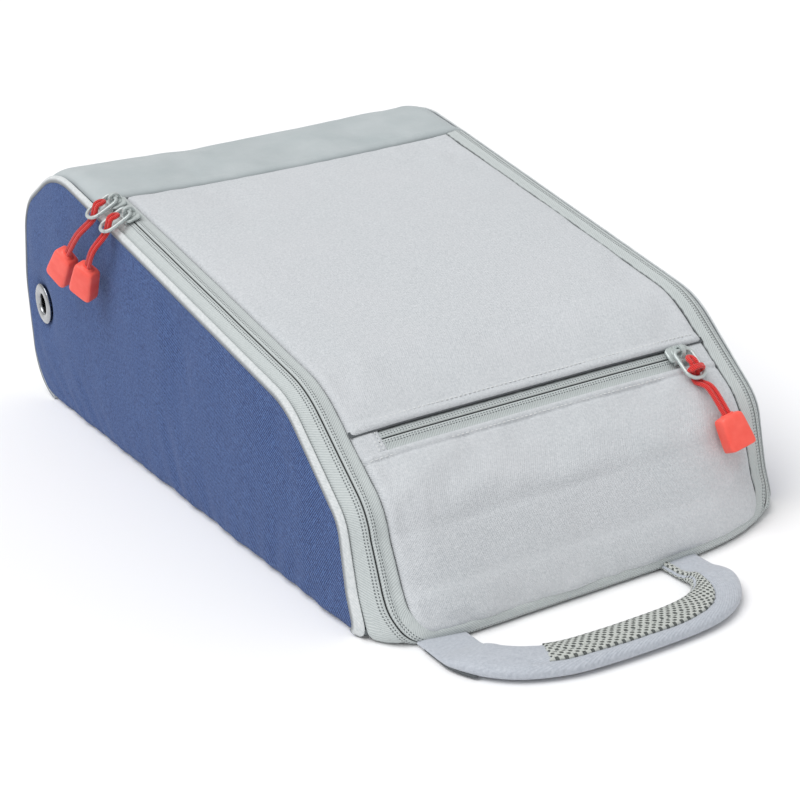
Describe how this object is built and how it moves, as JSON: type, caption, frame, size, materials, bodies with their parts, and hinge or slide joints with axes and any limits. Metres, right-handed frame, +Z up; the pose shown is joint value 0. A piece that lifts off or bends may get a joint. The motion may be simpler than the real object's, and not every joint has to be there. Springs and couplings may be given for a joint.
{
  "type": "golf shoe bag",
  "caption": "Wedge-shaped zipped shoe bag lying on its back, with a U-shaped main zip, a front pocket, cord pulls, vent eyelets and a padded carry handle.",
  "frame": {"origin": "on the ground under the middle of the bag", "axes": "+X across to the right of the lid, +Y from the low toe end to the tall heel end, +Z up"},
  "size_m": [0.2291, 0.4287, 0.1306],
  "materials": {
    "navy_cloth": "fine twill weave",
    "heather_cloth": "soft brushed heather weave",
    "coated_cloth": "smooth coated weave, slight sheen",
    "zip_tape": "ribbed woven tape",
    "zip_coil": "nylon coil under woven tape",
    "binding": "plain woven binding tape",
    "lining": "plain thin lining",
    "board": "stiff fibre board",
    "painted_pull": "off-white paint",
    "nickel": "polished dark nickel",
    "red_cord": "braided cord",
    "red_rubber": "soft matt moulding",
    "handle_cloth": "smooth padded cloth",
    "mesh_cloth": "open spacer mesh"
  },
  "bodies": {
    "bag": {"base_panel": "coated_cloth", "end_panel": "coated_cloth", "base_board": "board", "base_lining": "lining", "end_lining": "lining", "side_lining_left": "lining", "side_lining_right": "lining", "side_panel_left": "navy_cloth", "side_panel_right": "navy_cloth", "eyelet_left": "nickel", "eyelet_right": "nickel", "eyelet_washer_left": "nickel", "eyelet_washer_right": "nickel", "edge_binding_left": "binding", "edge_binding_right": "binding", "toe_gusset_left": "zip_tape", "toe_gusset_right": "zip_tape", "body_zip_tape": "zip_tape", "body_zip_coil": "zip_coil", "handle_anchor_left": "handle_cloth", "handle_anchor_right": "handle_cloth"},
    "lid": {"lid_upper_panel": "heather_cloth", "lid_pocket_panel": "heather_cloth", "lid_lining": "lining", "lid_zip_tape": "zip_tape", "lid_zip_coil": "zip_coil", "pocket_liner": "lining", "pocket_zip_tape_lower": "zip_tape", "pocket_zip_coil_lower": "zip_coil", "pocket_zip_coil_upper": "zip_coil", "pocket_zip_tape_upper": "zip_tape", "pocket_zip_tab_left": "zip_tape", "pocket_zip_tab_right": "zip_tape"},
    "main_a_slider_body": {"main_a_slider": "painted_pull"},
    "main_a_pull": {"main_a_ring": "painted_pull", "main_a_cord": "red_cord", "main_a_end": "red_rubber"},
    "main_b_slider_body": {"main_b_slider": "painted_pull"},
    "main_b_pull": {"main_b_ring": "painted_pull", "main_b_cord": "red_cord", "main_b_end": "red_rubber"},
    "pocket_slider_body": {"pocket_slider": "painted_pull"},
    "pocket_pull": {"pocket_ring": "painted_pull", "pocket_cord": "red_cord", "pocket_end": "red_rubber"},
    "handle": {"handle_strap": "handle_cloth", "handle_mesh_pad": "mesh_cloth"}
  },
  "joints": [
    {"name": "lid_hinge", "type": "hinge", "parent": "bag", "child": "lid", "pos_m": [0, 0.0693, 0.1252], "axis": [-1, 0, 0], "range_deg": [0, 100]},
    {"name": "handle_hinge", "type": "hinge", "parent": "bag", "child": "handle", "pos_m": [-0.0185, -0.2009, 0.0044], "axis": [-1, 0, 0], "range_deg": [0, 50]},
    {"name": "main_b_slide", "type": "slide", "parent": "lid", "child": "main_b_slider_body", "axis": [0.0138, -0.98, -0.1985], "range_m": [0, 0.148]},
    {"name": "main_a_slide", "type": "slide", "parent": "lid", "child": "main_a_slider_body", "axis": [0.0138, -0.98, -0.1985], "range_m": [0, 0.148]},
    {"name": "main_a_swing", "type": "hinge", "parent": "main_a_slider_body", "child": "main_a_pull", "pos_m": [-0.0952, 0.06131, 0.12726], "axis": [-0.014, 0.9799, 0.199], "range_deg": [0, 160]},
    {"name": "main_b_swing", "type": "hinge", "parent": "main_b_slider_body", "child": "main_b_pull", "pos_m": [-0.09497, 0.04563, 0.12408], "axis": [-0.014, 0.9799, 0.199], "range_deg": [0, 160]},
    {"name": "pocket_slide", "type": "slide", "parent": "lid", "child": "pocket_slider_body", "axis": [-1, 0, 0], "range_m": [0, 0.132]},
    {"name": "pocket_swing", "type": "hinge", "parent": "pocket_slider_body", "child": "pocket_pull", "pos_m": [0.068, -0.1476, 0.07199], "axis": [-1, 0, 0], "range_deg": [0, 140]}
  ],
  "couplings": [
    {"joint": "main_a_slide", "follows": "main_b_slide", "ratio": 1}
  ]
}
